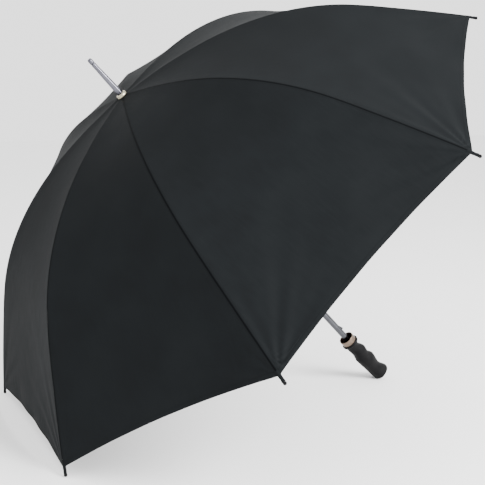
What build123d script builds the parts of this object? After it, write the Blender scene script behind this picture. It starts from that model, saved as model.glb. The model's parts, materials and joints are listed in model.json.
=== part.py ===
from build123d import *
from collections import namedtuple
from math import asin, atan2, cos, degrees, hypot, radians, sin
import os

# A golf umbrella, standing open. Millimetres throughout.
# It is drawn upright: the shaft lies on Z, the end of the grip is at z = 0 and the ferrule points up.
# Each rib lies in a vertical plane through the shaft, where a point is written (r, z). At the end the whole
# umbrella is tipped, as it rests on the ground: on the tips of ribs 4 and 5 and on the end of its grip.

# ---- driving dimensions ----
RIBS = 8
STEP = 360 / RIBS
SHAFT_R, SHAFT_WALL = 7.0, 0.8
SHAFT_FOOT, SHAFT_TOP = 20.0, 906.0
FERRULE_TOP, FERRULE_BASE_R, FERRULE_TIP_R = 1000.0, 6.5, 4.6
FERRULE_SPIGOT, FERRULE_STRAIGHT, FERRULE_BEVEL = 22.0, 24.0, 1.2
CAP_R, CAP_LOW, CAP_HIGH, CAP_ROUND = 10.5, 906.0, 912.0, 2.0

# the rib, as points that tangent arcs run through: root pivot, knee, a bend, tip
ROOT = (12.0, 893.0)
KNEE = (331.0, 836.0)
BEND = (469.7, 741.9)
TIP = (644.7, 566.9)
ROOT_SLOPE = 4.5
RIB_WIDTH, RIB_HALF, RIB_WALL = 3.6, 1.5, 0.5
TONGUE_WIDTH, TONGUE_LENGTH, EYE_R = 2.0, 14.0, 2.2
KNEE_GAP = 3.0
JOINT_DROP = 5.5
TIP_CAP_LENGTH, TIP_CAP_R, TIP_BALL_R = 13.5, 2.75, 3.25
TIP_SOCKET = 11.0

# the wires that the ribs and the stretchers hang on
WIRE_RING_R, WIRE_R, WIRE_HOLE_R = 12.0, 0.6, 0.75
NOTCH_LOW, NOTCH_HIGH, NOTCH_FLANGE_LOW = 878.0, 903.0, 888.0
PIN_R, PIN_HOLE_R = 0.9, 1.0
KNEE_PIN_R, KNEE_HOLE_R = 0.6, 0.7

# the bracket crimped under each rib, measured back from the knee
BRACKET_WALL, BRACKET_SIDE, BRACKET_ROOF = 0.8, 1.0, 1.1
BRACKET_LENGTH, SADDLE_BACK, EAR_BACK = 13.0, 9.5, 3.5
EAR_HEIGHT, EAR_DROP, EAR_R = 7.4, 3.2, 2.6
PIN_HEADS = 1.2

# the runner, at its upper limit
RUNNER_Z = 640.0
RUNNER_BELOW, RUNNER_ABOVE = 45.0, 8.0
SLEEVE_R, FLANGE_R, FLANGE_HALF = 9.1, 14.5, 5.0
SLOT_WIDTH, SLOT_FLOOR_R = 2.6, 9.3
RUNNER_BORE_R = 7.1
WINDOW_FLOOR_R = 4.5
RUNNER_TRAVEL = 439.5

# the two spring catches
CATCH_WIDTH, CATCH_SLOT_WIDTH, CATCH_WINDOW_WIDTH = 3.0, 3.4, 4.0
CATCH_R, CATCH_BACK_R, CATCH_RAMP_R = 10.2, 4.5, 6.4
CATCH_LEDGE, CATCH_NOSE = 3.0, 2.0
SLOT_END_CLEAR, SLOT_SIDE_CLEAR, WINDOW_LOW_CLEAR, WINDOW_HIGH_CLEAR = 2.0, 1.5, 0.5, 1.0
TOP_CATCH_Z, TOP_CATCH_RAMP = 594.6, 28.0
BOTTOM_CATCH_Z, BOTTOM_CATCH_RAMP = 168.0, 14.0

# the canopy
CLOTH_LOW, CLOTH_THICK = 2.6, 0.6
CLOTH_HALF_GAP = 0.3
CROWN_POINTS = ((10.8, 903.9), (60.0, 901.8), (105.0, 898.0), (140.0, 893.2))
CORNER = (634.7, 576.8)
HEM_MIDDLE = (576.0, 584.0)
HEM_CUTTER_HEIGHT = 240.0
STRAP_LENGTH, STRAP_WIDTH, STRAP_THICK, STRAP_GORE = 150.0, 22.0, 1.2, 6
STRAP_FROM_HEM, STRAP_GAP = 40.0, 0.5
CLOTH_BULGE = 3.0  # how far the curved cloth stands out, towards r and z, from a straight line at the strap

# the handle
CUP_MOUTH, CUP_FOOT, CUP_R, CUP_WALL, CUP_FLOOR = 142.0, 122.0, 17.5, 1.2, 2.0
GRIP_COLLAR_R, GRIP_COLLAR_LOW, GRIP_COLLAR_HIGH = 20.0, 122.5, 128.0
# height, offset of the section's centre towards the finger bumps, and its radius
GRIP_SECTIONS = (
    (122.6, 0.0, 18.6), (110.0, -1.4, 14.5), (92.0, 2.5, 17.2), (75.0, -0.7, 17.9), (60.0, 2.5, 20.0),
    (33.0, 1.7, 17.4), (7.0, 6.4, 20.3), (0.0, 5.5, 15.0),
)
BUTT_REST_R = 14.0  # how far off the shaft the rounded butt meets the ground

Arc = namedtuple("Arc", "centre radius start end")
parts = {}


# ---- plane geometry of the rib ----
def tangent_arcs(points, slope):
    """Arcs through the points, each leaving along the last one's end. Slopes are in degrees."""
    arcs = []
    for (r0, z0), (r1, z1) in zip(points, points[1:]):
        chord = degrees(atan2(z1 - z0, r1 - r0))
        radius = hypot(r1 - r0, z1 - z0) / (2 * sin(radians(slope - chord)))
        centre = (r0 + radius * sin(radians(slope)), z0 - radius * cos(radians(slope)))
        arcs.append(Arc(centre, radius, slope, 2 * chord - slope))
        slope = 2 * chord - slope
    return arcs


def on_arc(arc, slope, lift=0.0):
    """The point of an arc where it has this slope, raised off it by lift."""
    reach = arc.radius + lift
    return (arc.centre[0] - reach * sin(radians(slope)), 0, arc.centre[1] + reach * cos(radians(slope)))


def shorten(arc, at_start=0.0, at_end=0.0):
    """The same arc with these lengths taken off its ends."""
    return Arc(arc.centre, arc.radius, arc.start - degrees(at_start / arc.radius),
               arc.end + degrees(at_end / arc.radius))


def band(arcs, low, high):
    """The face between two offsets of a chain of arcs."""
    def edge(arc, lift, a, b):
        return ThreePointArc(on_arc(arc, a, lift), on_arc(arc, (a + b) / 2, lift), on_arc(arc, b, lift))

    first, last = arcs[0], arcs[-1]
    edges = [edge(a, high, a.start, a.end) for a in arcs]
    edges.append(Line(on_arc(last, last.end, high), on_arc(last, last.end, low)))
    edges += [edge(a, low, a.end, a.start) for a in reversed(arcs)]
    edges.append(Line(on_arc(first, first.start, low), on_arc(first, first.start, high)))
    return Face(Wire(edges))


def across(face, width):
    """A plate of this width, centred on the rib's plane."""
    return extrude(face, amount=width / 2, dir=(0, 1, 0), both=True)


def disc(r, z, radius, width):
    """A cylinder that lies across the rib's plane at (r, z)."""
    return Pos(r, 0, z) * Rot(90, 0, 0) * Cylinder(radius, width)


def along(arc, slope):
    """A plane that stands on the rib: x outwards along it, y away from the shaft's foot."""
    angle = radians(slope)
    return Plane(origin=on_arc(arc, slope), x_dir=(cos(angle), 0, sin(angle)), z_dir=(0, -1, 0))


def channel(arcs):
    """A U section along the arcs, open underneath."""
    hollow = band(arcs, -RIB_HALF - 1, RIB_HALF - RIB_WALL)
    return across(band(arcs, -RIB_HALF, RIB_HALF), RIB_WIDTH) - across(hollow, RIB_WIDTH - 2 * RIB_WALL)


def at_rib(i, shape):
    """A shape drawn in the rib's plane, turned to rib i."""
    return Rot(0, 0, STEP / 2 - STEP * i) * shape


def at_gore(i, shape):
    """A shape drawn in a gore's middle plane, turned to gore i, which runs from rib i to the next."""
    return Rot(0, 0, -STEP * i) * shape


INNER, MIDDLE, OUTER = tangent_arcs((ROOT, KNEE, BEND, TIP), ROOT_SLOPE)
KNEE_SLOPE = INNER.end
JOINT = (KNEE[0] + JOINT_DROP * sin(radians(KNEE_SLOPE)), KNEE[1] - JOINT_DROP * cos(radians(KNEE_SLOPE)))


# ---- shaft, ferrule and crown ----
def make_shaft():
    tube = Cylinder(SHAFT_R, SHAFT_TOP - SHAFT_FOOT) - Cylinder(SHAFT_R - SHAFT_WALL, SHAFT_TOP)
    tube = Pos(0, 0, (SHAFT_TOP + SHAFT_FOOT) / 2) * tube
    top_low, top_high = TOP_CATCH_Z - TOP_CATCH_RAMP - SLOT_END_CLEAR, TOP_CATCH_Z + SLOT_SIDE_CLEAR
    bottom_low = BOTTOM_CATCH_Z - CATCH_NOSE - SLOT_SIDE_CLEAR
    bottom_high = BOTTOM_CATCH_Z + BOTTOM_CATCH_RAMP + SLOT_SIDE_CLEAR
    for low, high in ((top_low, top_high), (bottom_low, bottom_high)):
        tube -= Pos(SHAFT_R, 0, (low + high) / 2) * Box(SHAFT_R, CATCH_SLOT_WIDTH, high - low)
    return tube


def make_ferrule():
    straight_low = FERRULE_TOP - FERRULE_STRAIGHT
    inner_r = SHAFT_R - SHAFT_WALL
    outline = Polyline(
        (0, 0, SHAFT_TOP - FERRULE_SPIGOT), (inner_r, 0, SHAFT_TOP - FERRULE_SPIGOT), (inner_r, 0, SHAFT_TOP),
        (FERRULE_BASE_R, 0, SHAFT_TOP), (FERRULE_TIP_R, 0, straight_low),
        (FERRULE_TIP_R, 0, FERRULE_TOP - FERRULE_BEVEL), (FERRULE_TIP_R - FERRULE_BEVEL, 0, FERRULE_TOP),
        (0, 0, FERRULE_TOP), close=True)
    return revolve(make_face(outline), Axis.Z)


def make_crown_cap():
    height = CAP_HIGH - CAP_LOW
    ring = Cylinder(CAP_R, height) - Cylinder(FERRULE_BASE_R, height)
    rim = ring.edges().group_by(Axis.Z)[-1].sort_by(SortBy.RADIUS)[-1]
    return Pos(0, 0, (CAP_LOW + CAP_HIGH) / 2) * fillet(rim, CAP_ROUND)


def wire_ring(z):
    return Pos(0, 0, z) * Torus(WIRE_RING_R, WIRE_R)


def slotted_hub(z, sleeve_low, sleeve_high, flange_low, flange_high, bore_r):
    """A sleeve with a flange, slotted for each rib or stretcher and bored for the wire that holds them."""
    hub = Pos(0, 0, (sleeve_low + sleeve_high) / 2) * Cylinder(SLEEVE_R, sleeve_high - sleeve_low)
    flange_mid = (flange_low + flange_high) / 2
    hub += Pos(0, 0, flange_mid) * Cylinder(FLANGE_R, flange_high - flange_low)
    for i in range(1, RIBS + 1):
        slot = Box(FLANGE_R, SLOT_WIDTH, 2 * (flange_high - flange_low))
        hub -= at_rib(i, Pos(SLOT_FLOOR_R + FLANGE_R / 2, 0, flange_mid) * slot)
    hub -= Pos(0, 0, (sleeve_low + sleeve_high) / 2) * Cylinder(bore_r, 2 * (sleeve_high - sleeve_low))
    return hub - wire_ring(z)


def make_crown_notch():
    return slotted_hub(ROOT[1], NOTCH_LOW, NOTCH_HIGH, NOTCH_FLANGE_LOW, ROOT[1] + EYE_R, SHAFT_R)


# ---- runner and catches ----
def make_runner():
    low, high = RUNNER_Z - RUNNER_BELOW, RUNNER_Z + RUNNER_ABOVE
    runner = slotted_hub(RUNNER_Z, low, high, RUNNER_Z - FLANGE_HALF, RUNNER_Z + FLANGE_HALF, RUNNER_BORE_R)
    window_low = BOTTOM_CATCH_Z - CATCH_NOSE - WINDOW_LOW_CLEAR + RUNNER_TRAVEL
    window_high = BOTTOM_CATCH_Z + BOTTOM_CATCH_RAMP + WINDOW_HIGH_CLEAR + RUNNER_TRAVEL
    window = Box(2 * (SLEEVE_R - WINDOW_FLOOR_R), CATCH_WINDOW_WIDTH, window_high - window_low)
    return runner - Pos(SLEEVE_R, 0, (window_low + window_high) / 2) * window


def catch(*outline):
    corners = [(r, 0, z) for r, z in outline]
    return across(make_face(Polyline(*corners, close=True)), CATCH_WIDTH)


def make_top_catch():
    """A ledge that the open runner stands on, with a ramp below it."""
    low = TOP_CATCH_Z - TOP_CATCH_RAMP
    return catch((CATCH_BACK_R, TOP_CATCH_Z), (CATCH_R, TOP_CATCH_Z), (CATCH_R, TOP_CATCH_Z - CATCH_LEDGE),
                 (CATCH_RAMP_R, low), (CATCH_BACK_R, low))


def make_bottom_catch():
    """A nose that looks through the closed runner's window, with a ramp above it."""
    high = BOTTOM_CATCH_Z + BOTTOM_CATCH_RAMP
    foot = BOTTOM_CATCH_Z - CATCH_NOSE
    return catch((CATCH_BACK_R, foot), (CATCH_R, foot), (CATCH_R, BOTTOM_CATCH_Z), (CATCH_RAMP_R, high),
                 (CATCH_BACK_R, high))


# ---- ribs and stretchers ----
def eye_end(arc, hole_r):
    """The flat tongue at the start of an arc, with an eye for a wire or a pin."""
    start = on_arc(arc, arc.start)
    tongue = shorten(arc, at_end=arc.radius * radians(arc.start - arc.end) - TONGUE_LENGTH - 4)
    shape = disc(start[0], start[2], EYE_R, TONGUE_WIDTH)
    shape += across(band([tongue], -RIB_HALF, RIB_HALF), TONGUE_WIDTH)
    return shape - disc(start[0], start[2], hole_r, 2 * TONGUE_WIDTH)


def make_rib():
    return eye_end(INNER, WIRE_HOLE_R) + channel([shorten(INNER, at_start=TONGUE_LENGTH, at_end=KNEE_GAP)])


def make_rib_end():
    arcs = [MIDDLE, shorten(OUTER, at_end=TIP_CAP_LENGTH - TIP_SOCKET)]
    shell = across(band(arcs, -RIB_HALF, RIB_HALF), RIB_WIDTH) + disc(*KNEE, RIB_HALF, RIB_WIDTH)
    inside = RIB_WIDTH - 2 * RIB_WALL
    shell -= across(band(arcs, -RIB_HALF - 1, RIB_HALF - RIB_WALL), inside)
    shell -= along(MIDDLE, MIDDLE.start) * Pos(0, -1, 0) * Box(4, 2 * (RIB_HALF + 0.5 - RIB_WALL), inside)
    return shell - disc(*KNEE, KNEE_HOLE_R, 2 * RIB_WIDTH)


def make_rib_joint():
    """The bracket crimped under a rib: a saddle, two ears, the stretcher's rivet and the knee pin."""
    at_knee = along(INNER, INNER.end)
    outer = RIB_WIDTH / 2 + BRACKET_SIDE
    groove = Pos(0, BRACKET_ROOF / 2, 0) * Box(2 * BRACKET_LENGTH, 2 * RIB_HALF, RIB_WIDTH)
    saddle = Box(BRACKET_LENGTH, 2 * RIB_HALF + BRACKET_ROOF, 2 * outer) - groove
    shape = at_knee * Pos(-SADDLE_BACK, -BRACKET_ROOF / 2, 0) * saddle
    for side in (1, -1):
        plate = Pos(-EAR_BACK, -EAR_DROP, 0) * Box(BRACKET_LENGTH, EAR_HEIGHT, BRACKET_WALL)
        plate += Pos(0, -JOINT_DROP, 0) * Cylinder(EAR_R, BRACKET_WALL)
        shape += at_knee * Pos(0, 0, side * (outer - BRACKET_WALL / 2)) * plate
    shape += disc(*JOINT, PIN_R, 2 * outer + PIN_HEADS)
    shape += disc(*KNEE, KNEE_PIN_R, 2 * outer + PIN_HEADS)
    return shape - across(band([shorten(INNER, at_end=KNEE_GAP)], -RIB_HALF, RIB_HALF), RIB_WIDTH)


def make_stretcher():
    """A straight U strut from the runner's wire to the rivet under the rib."""
    start, end = (WIRE_RING_R, RUNNER_Z), JOINT
    slope = degrees(atan2(end[1] - start[1], end[0] - start[0]))
    length = hypot(end[0] - start[0], end[1] - start[1])
    frame = Plane(origin=(start[0], 0, start[1]), x_dir=(cos(radians(slope)), 0, sin(radians(slope))),
                  z_dir=(0, -1, 0))
    body = length - 2 * TONGUE_LENGTH
    channel_ = Pos(length / 2, 0, 0) * Box(body, 2 * RIB_HALF, RIB_WIDTH)
    channel_ -= Pos(length / 2, -RIB_WALL, 0) * Box(body, 2 * RIB_HALF, RIB_WIDTH - 2 * RIB_WALL)
    for at, inwards, hole_r in ((0, 1, WIRE_HOLE_R), (length, -1, PIN_HOLE_R)):
        tongue = Pos(at + inwards * (TONGUE_LENGTH + 4) / 2, 0, 0)
        channel_ += tongue * Box(TONGUE_LENGTH + 4, 2 * RIB_HALF, TONGUE_WIDTH)
        channel_ += Pos(at, 0, 0) * Cylinder(EYE_R, TONGUE_WIDTH)
        channel_ -= Pos(at, 0, 0) * Cylinder(hole_r, 2 * TONGUE_WIDTH)
    return frame * channel_


def make_tip_cap():
    """The plastic cap on a rib's end, which a corner of the canopy is sewn to."""
    at_tip = along(OUTER, OUTER.end)
    shank = TIP_CAP_LENGTH - TIP_BALL_R
    cap = Pos(-TIP_BALL_R - shank / 2, 0, 0) * Rot(0, 90, 0) * Cylinder(TIP_CAP_R, shank)
    cap += Pos(-TIP_BALL_R, 0, 0) * Sphere(TIP_BALL_R)
    rib_end = shorten(OUTER, at_end=TIP_CAP_LENGTH - TIP_SOCKET)
    return at_tip * cap - across(band([rib_end], -RIB_HALF, RIB_HALF), RIB_WIDTH)


# ---- canopy ----
def seam_line(lift):
    """Points of the cloth's seam above a rib, from the crown to beyond the corner."""
    points = [(r, z + lift - CLOTH_LOW) for r, z in CROWN_POINTS]
    for arc, count in ((INNER, 3), (MIDDLE, 3), (OUTER, 3)):
        first = 2 if arc is INNER else 1
        for k in range(first, count + 1):
            r, _, z = on_arc(arc, arc.start + (arc.end - arc.start) * k / count, lift)
            points.append((r, z))
    return points


def make_gore():
    """Cloth that runs straight from seam to seam, so it is flat across and curved along."""
    squeeze = cos(radians(STEP / 2))
    low = [(r * squeeze, 0, z) for r, z in seam_line(CLOTH_LOW)]
    high = [(r * squeeze, 0, z) for r, z in seam_line(CLOTH_LOW + CLOTH_THICK)]
    face = Face(Wire([Spline(*low), Line(low[-1], high[-1]), Spline(*reversed(high)), Line(high[0], low[0])]))
    gore = across(face, 2 * TIP[0])
    for side in (1, -1):
        keep = Box(4 * TIP[0], 2 * TIP[0], 4 * TIP[0])
        gore -= Rot(0, 0, side * STEP / 2) * Pos(0, side * (TIP[0] - CLOTH_HALF_GAP), 0) * keep
    return gore - hem_cutter(squeeze)


def hem_cutter(squeeze):
    """A drum that cuts the scalloped hem, standing square to the cloth at the middle of the hem."""
    half_chord = CORNER[0] * sin(radians(STEP / 2))
    rise = hypot(CORNER[0] * squeeze - HEM_MIDDLE[0], HEM_MIDDLE[1] - CORNER[1])
    radius = half_chord ** 2 / (2 * rise) + rise / 2
    slope = radians(OUTER.end)
    centre = (HEM_MIDDLE[0] + radius * cos(slope), 0, HEM_MIDDLE[1] + radius * sin(slope))
    plane = Plane(origin=centre, x_dir=(0, 1, 0), z_dir=(-sin(slope), 0, cos(slope)))
    return plane * Cylinder(radius, HEM_CUTTER_HEIGHT)


def make_strap():
    """The tie, pressed flat against the cloth beside the hem."""
    slope = radians(OUTER.end)
    lift = CLOTH_LOW + CLOTH_THICK + STRAP_GAP + STRAP_THICK / 2
    centre = (HEM_MIDDLE[0] - STRAP_FROM_HEM * cos(slope) - lift * sin(slope) + CLOTH_BULGE, 0,
              HEM_MIDDLE[1] - STRAP_FROM_HEM * sin(slope) + lift * cos(slope) + CLOTH_BULGE)
    plane = Plane(origin=centre, x_dir=(cos(slope), 0, sin(slope)), z_dir=(-sin(slope), 0, cos(slope)))
    return plane * Box(STRAP_WIDTH, STRAP_LENGTH, STRAP_THICK)


# ---- handle ----
def make_cup():
    height = CUP_MOUTH - CUP_FOOT
    cup = Cylinder(CUP_R, height) - Pos(0, 0, CUP_FLOOR) * Cylinder(CUP_R - CUP_WALL, height)
    return Pos(0, 0, (CUP_MOUTH + CUP_FOOT) / 2) * (cup - Cylinder(SHAFT_R, 2 * height))


def make_grip():
    sections = [Plane.XY.offset(z) * Pos(x, 0) * Circle(radius) for z, x, radius in reversed(GRIP_SECTIONS)]
    grip = loft(sections)
    collar = GRIP_COLLAR_HIGH - GRIP_COLLAR_LOW
    grip += Pos(0, 0, (GRIP_COLLAR_HIGH + GRIP_COLLAR_LOW) / 2) * Cylinder(GRIP_COLLAR_R, collar)
    grip -= Pos(0, 0, (CUP_MOUTH + CUP_FOOT) / 2) * Cylinder(CUP_R, CUP_MOUTH - CUP_FOOT)
    return grip - Pos(0, 0, SHAFT_FOOT + CUP_MOUTH / 2) * Cylinder(SHAFT_R, CUP_MOUTH)


# ---- the whole umbrella, upright ----
parts["shaft_tube"] = make_shaft()
parts["ferrule"] = make_ferrule()
parts["crown_cap"] = make_crown_cap()
parts["crown_notch"] = make_crown_notch()
parts["crown_wire"] = wire_ring(ROOT[1])
parts["runner"] = make_runner()
parts["runner_wire"] = wire_ring(RUNNER_Z)
parts["top_catch"] = make_top_catch()
parts["bottom_catch"] = make_bottom_catch()
parts["handle_cup"] = make_cup()
parts["handle_grip"] = make_grip()
parts["tie_strap"] = at_gore(STRAP_GORE, make_strap())

RIB_PIECES = {
    "rib": make_rib(), "rib_end": make_rib_end(), "rib_joint": make_rib_joint(),
    "stretcher": make_stretcher(), "tip_cap": make_tip_cap(),
}
GORE = make_gore()
for i in range(1, RIBS + 1):
    for name, shape in RIB_PIECES.items():
        parts[f"{name}_{i}"] = at_rib(i, shape)
    parts[f"canopy_panel_{i}"] = at_gore(i, GORE)

# ---- tipped as it rests on the ground ----
tip_reach = TIP[0] * cos(radians(STEP / 2)) - BUTT_REST_R
SHAFT_RISE = degrees(atan2(tip_reach, TIP[1]) + asin(TIP_BALL_R / hypot(tip_reach, TIP[1])))
tipped = {name: Rot(0, SHAFT_RISE - 90, 0) * shape for name, shape in parts.items()}
boxes = [shape.bounding_box() for shape in tipped.values()]
low = [min(tuple(b.min)[k] for b in boxes) for k in range(3)]
high = [max(tuple(b.max)[k] for b in boxes) for k in range(3)]
SHIFT = Pos(-(low[0] + high[0]) / 2, -(low[1] + high[1]) / 2, -low[2])

os.makedirs("parts", exist_ok=True)
for name, shape in tipped.items():
    export_step(SHIFT * shape, os.path.join("parts", name + ".step"))
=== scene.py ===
import bmesh
import bpy
import math
import numpy as np
from mathutils import Matrix, Vector
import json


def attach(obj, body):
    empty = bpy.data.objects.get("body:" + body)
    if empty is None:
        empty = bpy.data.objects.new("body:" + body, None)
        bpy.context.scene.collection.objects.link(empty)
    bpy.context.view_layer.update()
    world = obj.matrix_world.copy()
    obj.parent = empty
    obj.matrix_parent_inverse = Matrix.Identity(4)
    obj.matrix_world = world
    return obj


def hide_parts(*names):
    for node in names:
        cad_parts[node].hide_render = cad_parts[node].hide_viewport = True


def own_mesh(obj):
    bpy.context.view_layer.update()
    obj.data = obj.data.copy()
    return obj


# A golf umbrella standing open on two rib tips and the end of its grip. Metres throughout.
# Shapes are worked out upright, with the shaft on Z and the end of the grip at the origin, in millimetres, and
# then placed in the frame by the shaft's own line, which the joints give.

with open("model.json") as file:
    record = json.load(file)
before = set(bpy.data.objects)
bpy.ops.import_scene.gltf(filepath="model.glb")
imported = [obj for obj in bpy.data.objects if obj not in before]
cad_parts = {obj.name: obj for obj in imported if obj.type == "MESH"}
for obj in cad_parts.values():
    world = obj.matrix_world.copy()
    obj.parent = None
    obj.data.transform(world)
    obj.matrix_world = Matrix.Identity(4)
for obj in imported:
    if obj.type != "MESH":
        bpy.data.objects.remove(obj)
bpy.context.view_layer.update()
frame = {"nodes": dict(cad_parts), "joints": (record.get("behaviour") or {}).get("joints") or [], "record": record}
MM = 0.001
RIBS = 8
HALF_STEP = math.pi / RIBS
joints = {j["name"]: j for j in frame["joints"]}

# ---- the upright frame ----
ROOT_HEIGHT = 893.0
shaft_up = -Vector(joints["runner_slide"]["axis"]).normalized()
level = Vector((0, 1, 0))
forward = level.cross(shaft_up)
pivots = [Vector(joints[f"rib_pivot_{i}"]["pos_m"]) for i in range(1, RIBS + 1)]
foot = sum(pivots, Vector()) / RIBS - shaft_up * ROOT_HEIGHT * MM
AXES = np.array([forward, level, shaft_up])
FOOT = np.array(foot)


def place(points):
    """Upright points in millimetres, as points of the frame in metres."""
    return np.asarray(points, float) * MM @ AXES + FOOT


def turn(directions):
    return np.asarray(directions, float) @ AXES


def upright(point):
    return AXES @ (np.array(point) - FOOT) / MM


# ---- the line of a rib, as (r, z) ----
ROOT_SLOPE = 4.5
BEND = (469.7, 741.9)
TIP = (644.7, 566.9)
CLOTH_LIFT = 3.0
ARC_STEPS = 4
CROWN = ((9.6, 905.2), (24.0, 904.4), (60.0, 902.2), (105.0, 898.4), (140.0, 893.6))
CROWN_GAP = 25  # how far beyond the crown's points the rib's own are taken up
SEAM_SAMPLES = 900
CORNER_R = 634.7
KNEE_CUT_R = 332.3


def in_rib_plane(joint):
    x, y, z = upright(joints[joint]["pos_m"])
    return (math.hypot(x, y), z)


def arc_points(points, slope, lift, count):
    """Points along tangent arcs through the given ones, raised off them by lift."""
    out = []
    for (r0, z0), (r1, z1) in zip(points, points[1:]):
        chord = math.atan2(z1 - z0, r1 - r0)
        radius = math.hypot(r1 - r0, z1 - z0) / (2 * math.sin(slope - chord))
        centre = (r0 + radius * math.sin(slope), z0 - radius * math.cos(slope))
        for a in np.linspace(slope, 2 * chord - slope, count + 1)[1 if out else 0:]:
            reach = radius + lift
            out.append((centre[0] - reach * math.sin(a), centre[1] + reach * math.cos(a)))
        slope = 2 * chord - slope
    return out


def smooth_through(keys, at):
    """Cubic through the keys, read at the given places. keys is a list of (place, value, ...)."""
    keys = np.array(keys, float)
    x, y = keys[:, 0], keys[:, 1:]
    slopes = np.gradient(y, x, axis=0)
    at = np.clip(at, x[0], x[-1])
    k = np.clip(np.searchsorted(x, at) - 1, 0, len(x) - 2)
    h = (x[k + 1] - x[k])[:, None]
    t = ((at - x[k]) / (x[k + 1] - x[k]))[:, None]
    return ((2 * t**3 - 3 * t**2 + 1) * y[k] + (t**3 - 2 * t**2 + t) * h * slopes[k]
            + (3 * t**2 - 2 * t**3) * y[k + 1] + (t**3 - t**2) * h * slopes[k + 1])


def seam_curve():
    """The seam above a rib, finely sampled: distance along it, r and z."""
    rib = arc_points([in_rib_plane("rib_pivot_1"), in_rib_plane("knee_1"), BEND, TIP],
                     math.radians(ROOT_SLOPE), CLOTH_LIFT, ARC_STEPS)
    keys = np.array(list(CROWN) + [p for p in rib if p[0] > CROWN[-1][0] + CROWN_GAP])
    run = np.r_[0, np.cumsum(np.hypot(*np.diff(keys, axis=0).T))]
    at = np.linspace(0, run[-1], SEAM_SAMPLES)
    line = smooth_through(np.column_stack([run, keys]), at)
    run = np.r_[0, np.cumsum(np.hypot(*np.diff(line, axis=0).T))]
    return run, line[:, 0], line[:, 1]


SEAM_RUN, SEAM_R, SEAM_Z = seam_curve()
# the height of the same places in a gore's flat pattern, measured along its middle line
KNEE_RUN = float(np.interp(KNEE_CUT_R, SEAM_R, SEAM_RUN))
CORNER_RUN = float(np.interp(CORNER_R, SEAM_R, SEAM_RUN))

# ---- the cloth ----
SCALLOP = 12.8
HEM_DEPTH = 10.0
HEM_EDGE, HEM_UNDER, HEM_END = 0.35, 0.7, 0.8  # how far out of the cloth the turned hem lies
HEM_EDGE_RUN = 0.3
# how far the middle of a gore sags below the line between its ribs, at shares of its length
SAG_AT = (0, 0.08, 0.5, 1)
SAGS = (0, 1.5, 6.5, 3.1)
# each gore half is cut across at the knee, so that it can follow the rib and its sprung end when it folds
BANDS = (
    # from, to, body, fold angle in degrees, share of width kept when folded, rows
    (0.0, KNEE_RUN, "rib", 18, 0.16, 48),
    (KNEE_RUN, None, "rib_end", 28, 0.015, 66),
)
COLUMNS = 36
SEAM_CROWDING = 1.5  # how much closer the columns of a piece lie beside its rib
SLOPE_STEP = 4
NORMAL_STEP = 2.0
LEAST_WIDTH = 4

# tension folds, in millimetres and in waves per radian around a corner
STRONG_CREASE, SLIGHT_CREASE = 2.4, 1.1
PULLED_CORNERS = ((2, 1), (2, -1), (1, -1), (3, 1))  # the corners with strong ones, as (gore, side)
CREASE_REACH, CREASE_START, CREASE_CLEAR = 110, 25, 12
FANS, FINE_FANS, FINE_SHARE, FINE_FROM = 13, 22, 0.6, 60
SLACK, SLACK_ALONG, SLACK_ACROSS = 0.7, 0.021, 0.016
HEM_SLACK, HEM_SLACK_REACH, HEM_SLACK_ACROSS = 0.9, 45, 0.055
FAN_PHASE, SLACK_PHASE, HEM_PHASE = 1.7, 2.1, 0.9  # keep the gores from being alike


def seam_at(run):
    """The seam's r and z at distances along it."""
    return np.interp(run, SEAM_RUN, SEAM_R), np.interp(run, SEAM_RUN, SEAM_Z)


def half_width(run):
    """Half the width of a gore's flat pattern."""
    return np.interp(run, SEAM_RUN, SEAM_R) * math.sin(HALF_STEP)


def hem_line(across):
    """How far along the seam the scalloped hem lies."""
    return CORNER_RUN - SCALLOP * (1 - across**2)


def sag(run):
    share = np.clip(run / CORNER_RUN, 0, 1)
    return np.interp(share, SAG_AT, SAGS)


def creases(across, run, gore):
    """Tension folds that fan out of each corner, and slow uneven slack over the cloth."""
    lift = np.zeros_like(run)
    width = half_width(run)
    for side in (-1, 1):
        along = CORNER_RUN - run
        from_seam = (1 - side * across) * width
        reach = np.hypot(along, from_seam)
        angle = np.arctan2(from_seam, along + 1e-6)
        strength = STRONG_CREASE if (gore, side) in PULLED_CORNERS else SLIGHT_CREASE
        fine = np.clip((reach - FINE_FROM) / FINE_FROM, 0, 1) * np.sin(FINE_FANS * angle + gore)
        fan = np.sin(FANS * angle + FAN_PHASE * gore + side) + FINE_SHARE * fine
        lift += (strength * fan * np.exp(-reach / CREASE_REACH) * reach / (reach + CREASE_START)
                 * np.clip(from_seam / CREASE_CLEAR, 0, 1))
    slack = np.sin(SLACK_ALONG * run + SLACK_PHASE * gore) * np.sin(SLACK_ACROSS * width * across + gore)
    ease = np.clip(1 - across**2, 0, 1)
    lift += SLACK * slack * ease
    # slack along the hem, between the corners
    near_hem = np.exp(-np.clip(CORNER_RUN - SCALLOP * ease - run, 0, None) / HEM_SLACK_REACH)
    lift += HEM_SLACK * near_hem * ease * np.sin(HEM_SLACK_ACROSS * width * across + HEM_PHASE * gore)
    return lift


def gore_points(across, run, gore):
    """Where the cloth is: across runs from 1 at this gore's own rib to -1 at the next gore's."""
    r, z = seam_at(run)
    (r0, z0), (r1, z1) = seam_at(run - SLOPE_STEP), seam_at(run + SLOPE_STEP)
    slope = np.arctan2(z1 - z0, r1 - r0)
    drop = sag(run) * (1 - across**2) - creases(across, run, gore)
    radial = r * math.cos(HALF_STEP) + drop * np.sin(slope)
    height = z - drop * np.cos(slope)
    return np.stack([radial, across * r * math.sin(HALF_STEP), height], axis=-1)


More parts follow.
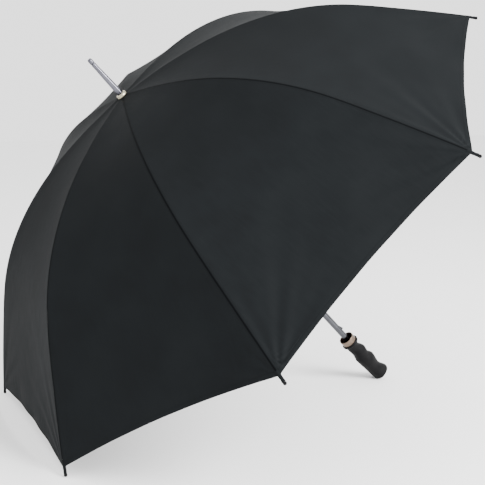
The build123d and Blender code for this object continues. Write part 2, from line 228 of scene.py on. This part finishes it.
def gore_normals(across, run, gore):
    side_step = NORMAL_STEP / np.maximum(half_width(run), LEAST_WIDTH)
    down = gore_points(across, run + NORMAL_STEP, gore) - gore_points(across, run - NORMAL_STEP, gore)
    over = gore_points(np.clip(across + side_step, -1, 1), run, gore)
    over = over - gore_points(np.clip(across - side_step, -1, 1), run, gore)
    normal = np.cross(down, over)
    return normal / np.linalg.norm(normal, axis=-1, keepdims=True)


def spin(points, angle):
    c, s = math.cos(angle), math.sin(angle)
    return np.asarray(points) @ np.array([[c, s, 0], [-s, c, 0], [0, 0, 1]])


def grid_object(name, points, normals=None, uvs=None, closed=False, material=None):
    """A mesh over a grid of frame points, with its own normals and uv maps where they are given."""
    rows, columns = points.shape[:2]
    faces = []
    for i in range(rows - 1):
        for j in range(columns if closed else columns - 1):
            k = (j + 1) % columns
            faces.append((i * columns + j, (i + 1) * columns + j, (i + 1) * columns + k, i * columns + k))
    mesh = bpy.data.meshes.new(name)
    mesh.from_pydata(points.reshape(-1, 3).tolist(), [], faces)
    for uv_name, uv in (uvs or {}).items():
        layer = mesh.uv_layers.new(name=uv_name)
        flat = uv.reshape(-1, 2)
        corners = np.array([v for f in faces for v in f])
        layer.data.foreach_set("uv", flat[corners].astype(np.float32).ravel())
    mesh.polygons.foreach_set("use_smooth", [True] * len(mesh.polygons))
    mesh.update()
    if normals is not None:
        mesh.normals_split_custom_set_from_vertices(normals.reshape(-1, 3).tolist())
    obj = bpy.data.objects.new(name, mesh)
    bpy.context.scene.collection.objects.link(obj)
    if material:
        mesh.materials.append(material)
    return obj


# ---- materials ----
def new_material(name, colour, roughness, metallic=0.0, **more):
    material = bpy.data.materials.new(name)
    material.use_nodes = True
    tree = material.node_tree
    shader = tree.nodes["Principled BSDF"]
    shader.inputs["Base Color"].default_value = (*colour, 1)
    shader.inputs["Roughness"].default_value = roughness
    shader.inputs["Metallic"].default_value = metallic
    for socket, value in more.items():
        shader.inputs[socket.replace("_", " ")].default_value = value
    return material, tree, shader


def node(tree, kind, inputs=(), **settings):
    """A new node; inputs maps a socket to a value or to another node's output."""
    made = tree.nodes.new(kind)
    for key, value in settings.items():
        setattr(made, key, value)
    for key, value in dict(inputs).items():
        if isinstance(value, bpy.types.NodeSocket):
            tree.links.new(value, made.inputs[key])
        else:
            made.inputs[key].default_value = value
    return made


def maths(tree, operation, a, b=0.0):
    return node(tree, "ShaderNodeMath", {0: a, 1: b}, operation=operation).outputs[0]


def ramp(tree, value, low, high, first, second):
    """The value mapped from low..high to first..second."""
    made = node(tree, "ShaderNodeMapRange", {"Value": value, "From Min": low, "From Max": high,
                                             "To Min": first, "To Max": second})
    return made.outputs["Result"]


def mix_colour(tree, share, a, b):
    made = node(tree, "ShaderNodeMix", data_type="RGBA")
    for index, value in ((0, share), (6, a), (7, b)):
        if isinstance(value, bpy.types.NodeSocket):
            tree.links.new(value, made.inputs[index])
        else:
            made.inputs[index].default_value = value if index == 0 else (*value, 1)
    return made.outputs[2]


def noise(tree, scale, detail, vector):
    inputs = {"Scale": scale, "Detail": detail, "Vector": vector}
    return node(tree, "ShaderNodeTexNoise", inputs).outputs["Fac"]


def stretched(tree, vector, scale):
    return node(tree, "ShaderNodeMapping", {"Vector": vector, "Scale": scale}).outputs["Vector"]


def object_place(tree, stretch=(1, 1, 1)):
    return stretched(tree, node(tree, "ShaderNodeTexCoord").outputs["Object"], stretch)


def shade(colour, by):
    return tuple(c * by for c in colour)


def bump(tree, shader, height, strength, distance):
    made = node(tree, "ShaderNodeBump", {"Height": height, "Strength": strength, "Distance": distance})
    tree.links.new(made.outputs["Normal"], shader.inputs["Normal"])


def metal(name, colour, roughness, metallic=1.0, grain=(900, 900, 40), depth=0.00002, tarnish=0.25):
    material, tree, shader = new_material(name, colour, roughness, metallic)
    lines = noise(tree, 1.0, 4.0, object_place(tree, grain))
    patches = noise(tree, 55.0, 4.0, object_place(tree))
    tree.links.new(ramp(tree, lines, 0.3, 0.7, roughness * 0.75, roughness * 1.35), shader.inputs["Roughness"])
    clean = ramp(tree, patches, 0.35, 0.65, 0, 1)
    tree.links.new(mix_colour(tree, clean, shade(colour, 1 - tarnish), colour), shader.inputs["Base Color"])
    bump(tree, shader, lines, 0.35, depth)
    return material


def plastic(name, colour, roughness, grain_scale=1500.0, depth=0.00006, specular=0.45):
    material, tree, shader = new_material(name, colour, roughness, 0.0, Specular_IOR_Level=specular)
    grain = noise(tree, grain_scale, 2.0, object_place(tree))
    wear = noise(tree, 70.0, 4.0, object_place(tree))
    tree.links.new(ramp(tree, wear, 0.3, 0.7, roughness * 0.85, roughness * 1.15), shader.inputs["Roughness"])
    lighter = tuple(c * 1.5 + 0.004 for c in colour)
    tree.links.new(mix_colour(tree, ramp(tree, wear, 0.45, 0.75, 0, 0.6), colour, lighter),
                   shader.inputs["Base Color"])
    bump(tree, shader, grain, 0.5, depth)
    return material


CLOTH_COLOUR = (0.0060, 0.0068, 0.0074)
# the colour of the painted shade in the groove over each seam
SEAM_PAINTED_SHADE = (0.0006, 0.0007, 0.0009)
WEAVE_SCALE, WEAVE_WOBBLE = 420.0, 0.6
SHEEN, SHEEN_ROUGHNESS, SHEEN_TINT = 0.004, 0.45, (0.75, 0.88, 0.95, 1)
CLOTH_SPECULAR = 0.014
CLOTH_ROUGHNESS = (0.54, 0.64)
# in metres: a stitch's length, and where each row of stitches runs with half its width
THREAD = 0.0028
SEAM_ROW, HEM_ROW = (0.0042, 0.0004), (0.0080, 0.0005)
STITCH_GAP = 0.28
GROOVE = (0.0006, 0.0030)
PUCKER_FROM_SEAM, PUCKER_FROM_HEM = 0.022, 0.020


def weave_bands(tree, vector, direction):
    return node(tree, "ShaderNodeTexWave", {"Vector": vector, "Scale": WEAVE_SCALE, "Distortion": WEAVE_WOBBLE},
                wave_type="BANDS", bands_direction=direction).outputs["Fac"]


def stitch_row(tree, distance, along, row):
    """1 on the stitches of a row beside an edge, and 0 elsewhere."""
    at, half = row
    on_row = maths(tree, "LESS_THAN", maths(tree, "ABSOLUTE", maths(tree, "SUBTRACT", distance, at)), half)
    beat = maths(tree, "GREATER_THAN", maths(tree, "FRACT", maths(tree, "DIVIDE", along, THREAD)), STITCH_GAP)
    return maths(tree, "MULTIPLY", on_row, beat)


def cloth(name, colour):
    """Plain-woven polyester. The uv maps, in metres, are cloth (across, along) and edge (from the seam, from the
    hem)."""
    material, tree, shader = new_material(name, colour, CLOTH_ROUGHNESS[0], Sheen_Weight=SHEEN,
                                          Sheen_Roughness=SHEEN_ROUGHNESS, Sheen_Tint=SHEEN_TINT,
                                          Specular_IOR_Level=CLOTH_SPECULAR)
    flat = node(tree, "ShaderNodeUVMap", uv_map="cloth").outputs["UV"]
    edges = node(tree, "ShaderNodeUVMap", uv_map="edge").outputs["UV"]
    from_seam, from_hem, _ = node(tree, "ShaderNodeSeparateXYZ", {0: edges}).outputs
    across, along, _ = node(tree, "ShaderNodeSeparateXYZ", {0: flat}).outputs
    weave = maths(tree, "MULTIPLY", weave_bands(tree, flat, "X"), weave_bands(tree, flat, "Y"))
    slub = noise(tree, 1.0, 4.0, stretched(tree, flat, (260, 24, 1)))
    cloudy = noise(tree, 9.0, 5.0, flat)
    # the sewn seam is a groove over the rib, darkened with painted shade, with stitches beside it, and the hem has
    # stitches too
    groove_and_shade = ramp(tree, from_seam, *GROOVE, 1, 0)
    stitches = maths(tree, "MAXIMUM", stitch_row(tree, from_seam, along, SEAM_ROW),
                     stitch_row(tree, from_hem, across, HEM_ROW))
    # small puckers beside the seams and along the hem
    near = maths(tree, "MAXIMUM", ramp(tree, from_seam, 0.0, PUCKER_FROM_SEAM, 1, 0),
                 ramp(tree, from_hem, 0.0, PUCKER_FROM_HEM, 1, 0))
    pucker = maths(tree, "MULTIPLY", noise(tree, 1.0, 2.0, stretched(tree, flat, (30, 95, 1))), near)
    tint = mix_colour(tree, ramp(tree, cloudy, 0.3, 0.7, 0, 1), shade(colour, 0.88), shade(colour, 1.12))
    tint = mix_colour(tree, ramp(tree, slub, 0.4, 0.75, 0, 0.35), tint, shade(colour, 1.35))
    # painted shade: the groove over each seam is darkened towards a near-black colour
    tint = mix_colour(tree, maths(tree, "MULTIPLY", groove_and_shade, 0.8), tint, SEAM_PAINTED_SHADE)
    tint = mix_colour(tree, maths(tree, "MULTIPLY", stitches, 0.6), tint, shade(colour, 0.5))
    tree.links.new(tint, shader.inputs["Base Color"])
    tree.links.new(ramp(tree, slub, 0.3, 0.7, *CLOTH_ROUGHNESS), shader.inputs["Roughness"])
    height = maths(tree, "MULTIPLY", weave, 0.10)
    for what, share in ((slub, 0.10), (pucker, 1.6), (groove_and_shade, -0.8), (stitches, -0.3)):
        height = maths(tree, "ADD", height, maths(tree, "MULTIPLY", what, share))
    bump(tree, shader, height, 0.6, 0.0006)
    return material


def grip_material():
    material, tree, shader = new_material("grip", (0.005, 0.005, 0.0055), 0.42, 0.0, Specular_IOR_Level=0.05)
    where = object_place(tree)
    pebbles = node(tree, "ShaderNodeTexVoronoi", {"Vector": where, "Scale": 620.0}).outputs["Distance"]
    wear = noise(tree, 45.0, 4.0, where)
    tree.links.new(ramp(tree, wear, 0.3, 0.7, 0.36, 0.52), shader.inputs["Roughness"])
    worn = ramp(tree, wear, 0.4, 0.8, 0, 0.7)
    tree.links.new(mix_colour(tree, worn, (0.0040, 0.0040, 0.0044), (0.0090, 0.0088, 0.0088)),
                   shader.inputs["Base Color"])
    bump(tree, shader, pebbles, 0.5, 0.0004)
    return material


CANOPY = cloth("canopy_cloth", CLOTH_COLOUR)
STRAP = cloth("strap_cloth", (0.0056, 0.0063, 0.0069))
SLOTS = {
    "shaft_steel": metal("shaft_steel", (0.085, 0.087, 0.095), 0.20),
    "ferrule_metal": metal("ferrule_metal", (0.11, 0.11, 0.13), 0.14, grain=(300, 300, 900)),
    "cap_ring": metal("cap_ring", (0.46, 0.42, 0.30), 0.32, 0.75, tarnish=0.25),
    "rib_steel": metal("rib_steel", (0.045, 0.047, 0.052), 0.42, tarnish=0.35),
    "wire": metal("wire", (0.16, 0.16, 0.17), 0.3),
    "black_plastic": plastic("black_plastic", (0.006, 0.006, 0.0065), 0.42, specular=0.06),
    "tip_plastic": plastic("tip_plastic", (0.004, 0.004, 0.0045), 0.34, specular=0.05),
    "canopy_cloth": CANOPY,
    "strap_cloth": STRAP,
    "cup_metal": metal("cup_metal", (0.17, 0.125, 0.095), 0.28, 0.9, tarnish=0.35),
    "grip_rubber": grip_material(),
}
# a darker reddish-brown metal for the inside of the cup: painted shade and reflection in its hollow
CUP_INSIDE_SHADE = metal("cup_inside_painted_shade", (0.030, 0.014, 0.011), 0.5, 0.4)
for part in frame["record"]["subparts"]:
    mesh = frame["nodes"][part["node"]].data
    mesh.materials.clear()
    mesh.materials.append(SLOTS[part["material_slot"]])


# ---- canopy pieces ----
def band_piece(gore, side, index):
    """A band of half a gore: side 1 is the half on the gore's own rib, -1 the half on the next gore's."""
    start, end, body, fold, keep, rows = BANDS[index]
    columns = np.linspace(0, 1, COLUMNS) ** SEAM_CROWDING
    across = side * (1 - columns)[None, :]
    last = end is None
    finish = hem_line(across) if last else np.full_like(across, end)
    share = np.linspace(0, 1, rows + 1)[:, None]
    run = start + share * (finish - start)
    across = np.broadcast_to(across, run.shape)
    points = gore_points(across, run, gore)
    normals = gore_normals(across, run, gore)
    if last:
        hem, out = points[-1], normals[-1]
        tangent = points[-1] - points[-2]
        tangent /= np.linalg.norm(tangent, axis=-1, keepdims=True)
        turned = np.stack([hem + HEM_EDGE * tangent - HEM_EDGE * out, hem - HEM_UNDER * out,
                           hem - HEM_END * out - HEM_DEPTH * tangent])
        points = np.concatenate([points, turned])
        normals = np.concatenate([normals, np.stack([tangent, -out, -out])])
        run = np.concatenate([run, run[-1:] + HEM_EDGE_RUN, run[-1:] + HEM_EDGE_RUN, run[-1:] - HEM_DEPTH])
        across = np.concatenate([across, np.repeat(across[-1:], 3, axis=0)])
    width = half_width(run)
    from_seam = width * (1 - side * across)
    uvs = {"cloth": np.stack([across * width, run], -1) * MM,
           "edge": np.stack([from_seam, hem_line(across) - run], -1) * MM}
    azimuth = -2 * HALF_STEP * gore
    if side > 0:
        # keeps the outside face outwards when the columns run the other way
        points, normals = points[:, ::-1], normals[:, ::-1]
        uvs = {k: v[:, ::-1] for k, v in uvs.items()}
    rib = gore if side > 0 else gore % RIBS + 1
    name = f"cloth_{gore}_{'a' if side > 0 else 'b'}{index + 1}"
    piece = grid_object(name, place(spin(points, azimuth)), turn(spin(normals, azimuth)), uvs, material=CANOPY)
    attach(piece, f"{body}_{rib}")
    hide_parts(f"canopy_panel_{gore}")
    fold_band(piece)


def fold_band(piece):
    """Gives the band a mesh of its own."""
    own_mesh(piece)


for gore in range(1, RIBS + 1):
    for side in (1, -1):
        for index in range(len(BANDS)):
            band_piece(gore, side, index)


# ---- the tab of doubled cloth that ties each corner to its tip cap ----
TAB_FROM, TAB_TO = 9.0, 7.5
TAB_WIDE, TAB_HIGH = 3.3, 2.7
TAB_RINGS, TAB_AROUND = 12, 20
CAP_REACH = 13.5
TAB_LIFT = 0.4
TAB_END_SLOPE = 20  # samples of the seam that its slope at the end is taken over
TAB_GATHER, TAB_GATHER_AT, TAB_GATHER_RINGS = 0.12, 4, 1.2  # the depth, place and spread of the sewn waist
TAB_FOLDS, TAB_FOLD_DEPTH = 5, 0.05
TAB_FROM_SEAM = 30.0  # far enough to stay clear of the seam's groove, with its painted shade, and of its stitches


def make_tab(rib):
    """A short sleeve around the rib from inside the corner to the cap, gathered where it is sewn."""
    slope = math.atan2(SEAM_Z[-1] - SEAM_Z[-TAB_END_SLOPE], SEAM_R[-1] - SEAM_R[-TAB_END_SLOPE])
    out, up = np.array([math.cos(slope), math.sin(slope)]), np.array([-math.sin(slope), math.cos(slope)])
    tip = np.array(TIP)
    corner = np.array([CORNER_R, np.interp(CORNER_R, SEAM_R, SEAM_Z)])
    corner_back = float(np.hypot(*(tip + CLOTH_LIFT * up - corner)))
    stations = np.linspace(-corner_back - TAB_FROM, -CAP_REACH + TAB_TO, TAB_RINGS)
    angles = np.linspace(0, 2 * math.pi, TAB_AROUND, endpoint=False)
    rings = []
    for k, station in enumerate(stations):
        gather = 1 - TAB_GATHER * math.exp(-((k - TAB_RINGS + TAB_GATHER_AT) / TAB_GATHER_RINGS) ** 2)
        centre = tip + station * out + TAB_LIFT * up
        offset_up = TAB_HIGH * gather * np.sin(angles)
        across = TAB_WIDE * gather * np.cos(angles) * (1 + TAB_FOLD_DEPTH * np.sin(TAB_FOLDS * angles + k))
        rings.append(np.stack([centre[0] + offset_up * up[0], across, centre[1] + offset_up * up[1]], -1))
    points = spin(np.array(rings), HALF_STEP - 2 * HALF_STEP * rib)
    lengths = np.broadcast_to((stations - stations[0])[:, None], points.shape[:2])
    around = np.broadcast_to(angles[None, :] * TAB_WIDE, points.shape[:2])
    uvs = {"cloth": np.stack([around, lengths], -1) * MM,
           "edge": np.stack([np.full_like(lengths, TAB_FROM_SEAM), lengths[::-1]], -1) * MM}
    tab = grid_object(f"corner_tab_{rib}", place(points), uvs=uvs, closed=True, material=CANOPY)
    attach(tab, f"rib_end_{rib}")


for rib in range(1, RIBS + 1):
    make_tab(rib)


# ---- turned metal and plastic pieces ----
WELD = 1e-6
SHARP = math.radians(38)
ROUNDED_STEPS = 4


def lathe(name, outline, body, replaced, slot, segments=48):
    """A turned piece on the shaft's line. outline is (r, z) in millimetres, from one end to the other."""
    outline = np.array(outline, float)
    angles = np.linspace(0, 2 * math.pi, segments, endpoint=False)
    points = np.stack([outline[:, 0, None] * np.cos(angles), outline[:, 0, None] * np.sin(angles),
                       np.broadcast_to(outline[:, 1, None], (len(outline), segments))], -1)
    piece = grid_object(name, place(points), closed=True, material=SLOTS[slot])
    fix_normals(piece)
    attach(piece, body)
    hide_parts(replaced)
    return piece


def fix_normals(piece):
    """Outward faces, with the sharp turns of the outline kept sharp."""
    work = bmesh.new()
    work.from_mesh(piece.data)
    bmesh.ops.remove_doubles(work, verts=work.verts, dist=WELD)
    bmesh.ops.recalc_face_normals(work, faces=work.faces)
    for e in work.edges:
        if len(e.link_faces) == 2 and e.calc_face_angle() > SHARP:
            e.smooth = False
    work.to_mesh(piece.data)
    work.free()


def rounded(points, radius):
    """The outline with every corner but its two ends rounded."""
    points = [np.array(p, float) for p in points]
    out = [points[0]]
    for a, b, c in zip(points, points[1:], points[2:]):
        cut = min(radius, 0.45 * np.linalg.norm(b - a), 0.45 * np.linalg.norm(c - b))
        p, q = b + (a - b) / np.linalg.norm(a - b) * cut, b + (c - b) / np.linalg.norm(c - b) * cut
        for t in np.linspace(0, 1, ROUNDED_STEPS + 1):
            out.append((1 - t) ** 2 * p + 2 * t * (1 - t) * b + t**2 * q)
    return np.array(out + [points[-1]])


lathe("ferrule_turned", rounded([
    (0, 884), (6.2, 884), (6.2, 906), (6.45, 906), (6.5, 914), (5.0, 968), (4.6, 976), (4.6, 986.5), (4.1, 987.2),
    (4.1, 989), (4.6, 989.7), (4.6, 997), (3.4, 1000), (0, 1000)], 0.7),
    "shaft", "ferrule", "ferrule_metal")
lathe("crown_ring", rounded([
    (6.55, 905.6), (10.3, 905.6), (10.5, 907.4), (10.1, 909.6), (10.3, 910.6), (8.6, 912), (6.55, 912),
    (6.55, 905.6)], 0.7), "shaft", "crown_cap", "cap_ring")
cup = lathe("cup_turned", rounded([
    (7.05, 124), (7.05, 122), (16.9, 122), (17.3, 128.4), (17.3, 138.8), (17.5, 140.6), (17.2, 142), (16.5, 142),
    (16.2, 140.5), (16.2, 126), (14.5, 124.2), (7.05, 124)], 0.6),
    "shaft", "handle_cup", "cup_metal", 64)
cup.data.materials.append(CUP_INSIDE_SHADE)
# the inner wall and the floor take the second material, painted shade and reflection; the rim and the outer wall
# keep the first material
CUP_MIDDLE, CUP_RIM, CUP_FLOOR, CUP_WALL_R = 130, 141, 126, 15.8
centre_line = Vector(place([0, 0, CUP_MIDDLE]))
for face in cup.data.polygons:
    away = face.center - centre_line
    away -= shaft_up * away.dot(shaft_up)
    height = upright(face.center)[2]
    inner_wall = face.normal.dot(away) < 0 and height < CUP_RIM
    if inner_wall or away.length < CUP_WALL_R * MM and height < CUP_FLOOR:
        face.material_index = 1


# ---- grip ----
# height, how far it reaches towards the finger bumps, how far the other way
GRIP_LINE = (
    (0.0, 20.5, 9.3), (1.6, 24.2, 11.8), (6.0, 26.6, 13.6), (14.0, 24.6, 14.3), (24.0, 20.6, 15.2),
    (33.0, 19.1, 15.7), (44.0, 20.4, 16.4), (55.0, 22.4, 17.3), (62.0, 22.6, 17.7), (69.0, 20.0, 18.3),
    (75.0, 17.3, 18.5), (83.0, 18.3, 16.6), (92.0, 19.7, 14.8), (101.0, 16.6, 15.0), (110.0, 13.2, 15.9),
    (117.0, 14.4, 16.4), (121.5, 17.5, 17.8), (122.6, 19.4, 19.4), (124.0, 20.0, 20.0), (126.6, 20.0, 20.0),
    (128.0, 19.0, 19.0), (128.0, 17.4, 17.4),
)
GRIP_AROUND = 72
GRIP_SMOOTH_TO = 122.6  # above this the outline's points are joined straight
GRIP_BUTT, GRIP_BUTT_RINGS, GRIP_RINGS = (8, 9), 16, 110
GRIP_THICKNESS = 0.96  # the thickness is this share of the mean reach, and the rest of the larger one
BUTT_CENTRE, BUTT_SHARES = 5.5, (0.02, 0.5)


def make_grip():
    keys = [k for k in GRIP_LINE if k[0] <= GRIP_SMOOTH_TO]
    butt = np.linspace(0, GRIP_BUTT[0], GRIP_BUTT_RINGS)
    heights = np.r_[butt, np.linspace(GRIP_BUTT[1], GRIP_SMOOTH_TO, GRIP_RINGS)]
    reach = smooth_through(keys, heights)
    rings = np.column_stack([heights, reach])
    rings = np.vstack([rings, [k for k in GRIP_LINE if k[0] > GRIP_SMOOTH_TO]])
    angles = np.linspace(0, 2 * math.pi, GRIP_AROUND, endpoint=False)
    plus, minus = rings[:, 1, None], rings[:, 2, None]
    x = np.where(np.cos(angles) > 0, plus, minus) * np.cos(angles)
    side = (plus + minus) / 2 * GRIP_THICKNESS + (1 - GRIP_THICKNESS) * np.maximum(plus, minus)
    points = np.stack([x, side * np.sin(angles), np.broadcast_to(rings[:, 0, None], x.shape)], -1)
    centre = np.array([BUTT_CENTRE, 0, 0])
    cap = centre + (points[:1] - centre) * np.array(BUTT_SHARES)[:, None, None]
    points = np.concatenate([cap, points])
    piece = grid_object("grip_moulded", place(points), closed=True, material=SLOTS["grip_rubber"])
    fix_normals(piece)
    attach(piece, "shaft")
    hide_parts("handle_grip")


make_grip()


# ---- tie strap: a plain band that lies on the sixth gore near its hem, in two halves ----
STRAP_GORE = 6
STRAP_HALF, STRAP_HALF_WIDTH, STRAP_FROM_HEM = 73.0, 10.0, 40.0
STRAP_COLUMNS, STRAP_ROWS = 32, 13
STRAP_LIFT, STRAP_RIPPLE, STRAP_RIPPLE_LENGTH = 0.9, 0.35, 17
STRAP_FROM_SEAM = 2.5


def make_strap(side):
    """Half of the strap, which goes with the half of the gore it lies on."""
    lengths = side * np.linspace(0, STRAP_HALF, STRAP_COLUMNS)[:, None]
    widths = np.linspace(-STRAP_HALF_WIDTH, STRAP_HALF_WIDTH, STRAP_ROWS)[None, :] * side
    lengths, widths = np.broadcast_arrays(lengths, widths)
    run = hem_line(0) - STRAP_FROM_HEM + widths
    # 1 is towards the gore's own rib, as for its cloth
    across = lengths / half_width(run)
    normals = gore_normals(across, run, STRAP_GORE)
    ripple = STRAP_RIPPLE * np.sin(np.abs(lengths) / STRAP_RIPPLE_LENGTH)
    lift = STRAP_LIFT + ripple * (1 - (widths / STRAP_HALF_WIDTH) ** 2)
    points = gore_points(across, run, STRAP_GORE) + normals * lift[..., None]
    edge = np.stack([STRAP_HALF_WIDTH - np.abs(widths), STRAP_HALF - np.abs(lengths)], -1)
    uvs = {"cloth": np.stack([lengths, widths], -1) * MM, "edge": (edge + STRAP_FROM_SEAM) * MM}
    azimuth = -2 * HALF_STEP * STRAP_GORE
    rib = STRAP_GORE if side > 0 else STRAP_GORE + 1
    piece = grid_object(f"tie_strap_{'a' if side > 0 else 'b'}", place(spin(points, azimuth)),
                        turn(spin(normals, azimuth)), uvs, material=STRAP)
    start, _, body, fold, keep, _ = BANDS[-1]
    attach(piece, f"{body}_{rib}")
    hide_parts("tie_strap")
    fold_band(piece)


for side in (1, -1):
    make_strap(side)


# ---- floor, light and camera ----
FLOOR_SIZE, FLOOR_Z = 14, -0.0005
WORLD_LIGHT = 2.2
LIT_POINT = (-0.05, 0, 0.45)
# name, place, size in metres, watts
LAMPS = (("key", (1.25, -2.75, 2.35), 2.0, 400), ("fill", (-2.6, -1.6, 1.6), 2.6, 14))


def make_floor():
    bpy.ops.mesh.primitive_plane_add(size=FLOOR_SIZE, location=(0, 0, FLOOR_Z))
    floor = bpy.context.object
    floor.name = "floor"
    material, tree, shader = new_material("floor", (0.92, 0.92, 0.92), 0.8)
    tone = noise(tree, 2.0, 2.0, object_place(tree))
    tree.links.new(mix_colour(tree, tone, (0.91, 0.91, 0.91), (0.93, 0.93, 0.93)), shader.inputs["Base Color"])
    floor.data.materials.append(material)


def area_light(name, at, target, size, power):
    light = bpy.data.lights.new(name, "AREA")
    light.size = size
    light.energy = power
    lamp = bpy.data.objects.new(name, light)
    bpy.context.scene.collection.objects.link(lamp)
    lamp.location = at
    lamp.rotation_euler = (Vector(target) - Vector(at)).to_track_quat("-Z", "Y").to_euler()


def make_light():
    world = bpy.data.worlds.new("studio")
    world.use_nodes = True
    world.node_tree.nodes["Background"].inputs["Color"].default_value = (1, 1, 1, 1)
    world.node_tree.nodes["Background"].inputs["Strength"].default_value = WORLD_LIGHT
    bpy.context.scene.world = world
    for name, at, size, power in LAMPS:
        area_light(name, at, LIT_POINT, size, power)


CAMERA_AT = (-0.849, -1.860, 0.725)
CAMERA_TOWARDS = (0.158, -0.065, 0.310)
CAMERA_ROLL = 1.59
LENS = 72.4
SENSOR = 36
SHIFT = (-0.136, 0.041)


def make_camera():
    camera = bpy.data.cameras.new("camera")
    camera.lens = LENS
    camera.sensor_width = SENSOR
    camera.shift_x, camera.shift_y = SHIFT
    eye = bpy.data.objects.new("camera", camera)
    bpy.context.scene.collection.objects.link(eye)
    eye.location = CAMERA_AT
    aim = (Vector(CAMERA_TOWARDS) - Vector(CAMERA_AT)).to_track_quat("-Z", "Y").to_matrix()
    eye.rotation_euler = (aim @ Matrix.Rotation(math.radians(CAMERA_ROLL), 3, "Z")).to_euler()
    bpy.context.scene.camera = eye


make_floor()
make_light()
make_camera()

import json
